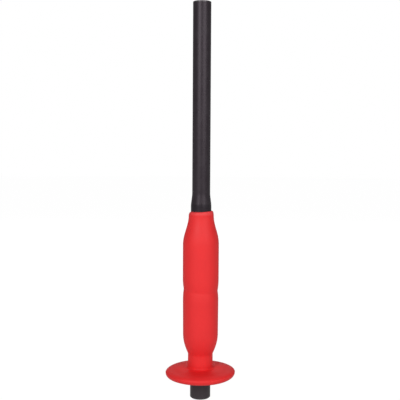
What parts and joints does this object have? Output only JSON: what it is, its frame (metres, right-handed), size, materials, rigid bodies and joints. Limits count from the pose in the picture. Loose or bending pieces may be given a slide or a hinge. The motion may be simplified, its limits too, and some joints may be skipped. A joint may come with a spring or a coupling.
{
  "type": "pin punch",
  "caption": "Long parallel pin punch: a stepped round steel bar with a push-on moulded hand guard that carries a round shield disc.",
  "frame": {"origin": "centre of the striking face, which the punch stands on", "axes": "+Z along the bar's axis, from the striking face to the tip of the pin; +X and +Y are free, because the part is round"},
  "size_m": [0.0548, 0.0548, 0.3083],
  "materials": {
    "blackened_steel": "satin",
    "red_elastomer": "matte"
  },
  "bodies": {
    "punch": {"punch_bar": "blackened_steel"},
    "hand_guard": {"hand_guard": "red_elastomer"}
  },
  "joints": [
    {"name": "guard_slide", "type": "slide", "parent": "punch", "child": "hand_guard", "axis": [0, 0, 1], "range_m": [-0.017, 0.135]}
  ]
}
